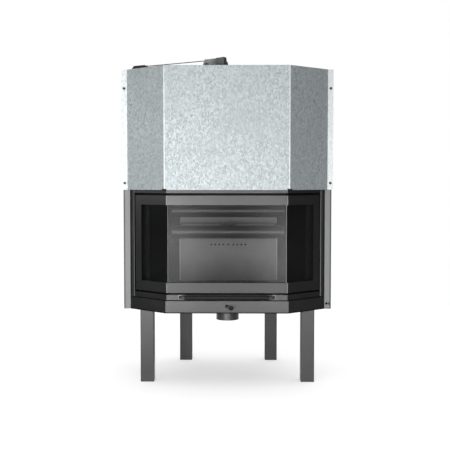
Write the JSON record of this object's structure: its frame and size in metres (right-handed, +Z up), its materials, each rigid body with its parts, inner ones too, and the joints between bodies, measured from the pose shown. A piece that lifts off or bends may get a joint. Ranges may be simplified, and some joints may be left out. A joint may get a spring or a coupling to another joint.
{
  "type": "boiler fireplace",
  "caption": "Boiler fireplace insert on legs: faceted glazed door lifts behind a galvanised hood on a cable with pulleys and counterweight; water-jacketed firebox, air valve.",
  "frame": {"origin": "on the floor, at the middle of the outer box", "axes": "+Z up, -Y is the front with the door, +X to the right as seen from the front"},
  "size_m": [1.1, 0.825, 1.6725],
  "materials": {
    "galvanised": "fine spangle",
    "post_grey": "satin",
    "charcoal": "satin",
    "leg_grey": "satin",
    "boiler_black": "matt",
    "ash_steel": "dull",
    "bright_steel": "zinc plated",
    "grate_iron": "as cast",
    "glass": "clear",
    "bakelite": "satin",
    "pulley_black": "satin",
    "gasket_fibre": "woven",
    "shoe_brass": "sliding",
    "cable_steel": "stranded"
  },
  "bodies": {
    "frame": {"hood_panel": "galvanised", "hood_top_plate": "galvanised", "centre_pulley_bracket": "galvanised", "left_upright": "post_grey", "right_upright": "post_grey", "counterweight_guide": "post_grey", "base_front_panel": "charcoal", "base_floor_plate": "charcoal", "left_pulley_bracket": "charcoal", "air_spigot": "charcoal", "front_left_leg": "leg_grey", "front_right_leg": "leg_grey", "rear_left_leg": "leg_grey", "rear_right_leg": "leg_grey", "firebox_left_wall": "boiler_black", "firebox_right_wall": "boiler_black", "firebox_back_wall": "boiler_black", "hearth_plate": "boiler_black", "jacket_left_plate": "boiler_black", "jacket_right_plate": "boiler_black", "jacket_back_plate": "boiler_black", "boiler_top_plate": "boiler_black", "boiler_front_plate": "boiler_black", "lintel_plate": "boiler_black", "back_air_plate": "boiler_black", "water_tubes": "boiler_black", "smoke_baffle": "boiler_black", "flue_collar": "boiler_black", "ash_pan": "ash_steel", "frame_bolts": "bright_steel", "pulley_axles": "bright_steel", "water_sockets": "bright_steel", "fire_grate": "grate_iron", "lintel_seal": "gasket_fibre", "lift_cable_top_run": "cable_steel", "lift_cable_door_run": "cable_steel", "lift_cable_weight_run": "cable_steel"},
    "door": {"carrier_top_rail": "charcoal", "carrier_bottom_rail": "charcoal", "carrier_left_stile": "charcoal", "carrier_right_stile": "charcoal", "leaf_top_rail": "charcoal", "leaf_bottom_rail": "charcoal", "leaf_left_stile": "charcoal", "leaf_right_stile": "charcoal", "front_pane": "glass", "left_pane": "glass", "right_pane": "glass", "pane_gasket": "gasket_fibre", "leaf_pins": "bright_steel", "handle_rod": "bright_steel", "handle_sleeve": "bakelite", "lift_bracket": "charcoal", "guide_shoes": "shoe_brass"},
    "weight": {"counterweight": "grate_iron"},
    "centre_wheel": {"centre_pulley": "pulley_black"},
    "left_wheel": {"left_pulley": "pulley_black"},
    "air_valve": {"damper_disc": "ash_steel", "damper_spindle": "bright_steel", "air_knob": "bakelite"}
  },
  "joints": [
    {"name": "door_lift", "type": "slide", "parent": "frame", "child": "door", "axis": [0, 0, 1], "range_m": [0, 0.5], "deforming": ["lift_cable_door_run"]},
    {"name": "weight_drop", "type": "slide", "parent": "frame", "child": "weight", "axis": [0, 0, -1], "range_m": [0, 0.5], "deforming": ["lift_cable_weight_run"]},
    {"name": "centre_wheel_turn", "type": "hinge", "parent": "frame", "child": "centre_wheel", "pos_m": [-0.02977, -0.31409, 1.627], "axis": [-0.5259, -0.8506, 0], "range_deg": [-5, 830]},
    {"name": "left_wheel_turn", "type": "hinge", "parent": "frame", "child": "left_wheel", "pos_m": [-0.47323, -0.03991, 1.627], "axis": [-0.5259, -0.8506, 0], "range_deg": [-5, 830]},
    {"name": "air_lever", "type": "hinge", "parent": "frame", "child": "air_valve", "pos_m": [0, -0.1125, 0.416], "axis": [0, 1, 0], "range_deg": [-13, 77]}
  ],
  "couplings": [
    {"joint": "weight_drop", "follows": "door_lift", "ratio": 1},
    {"joint": "centre_wheel_turn", "follows": "door_lift", "rad_per_m": 28.571},
    {"joint": "left_wheel_turn", "follows": "door_lift", "rad_per_m": 28.571}
  ]
}
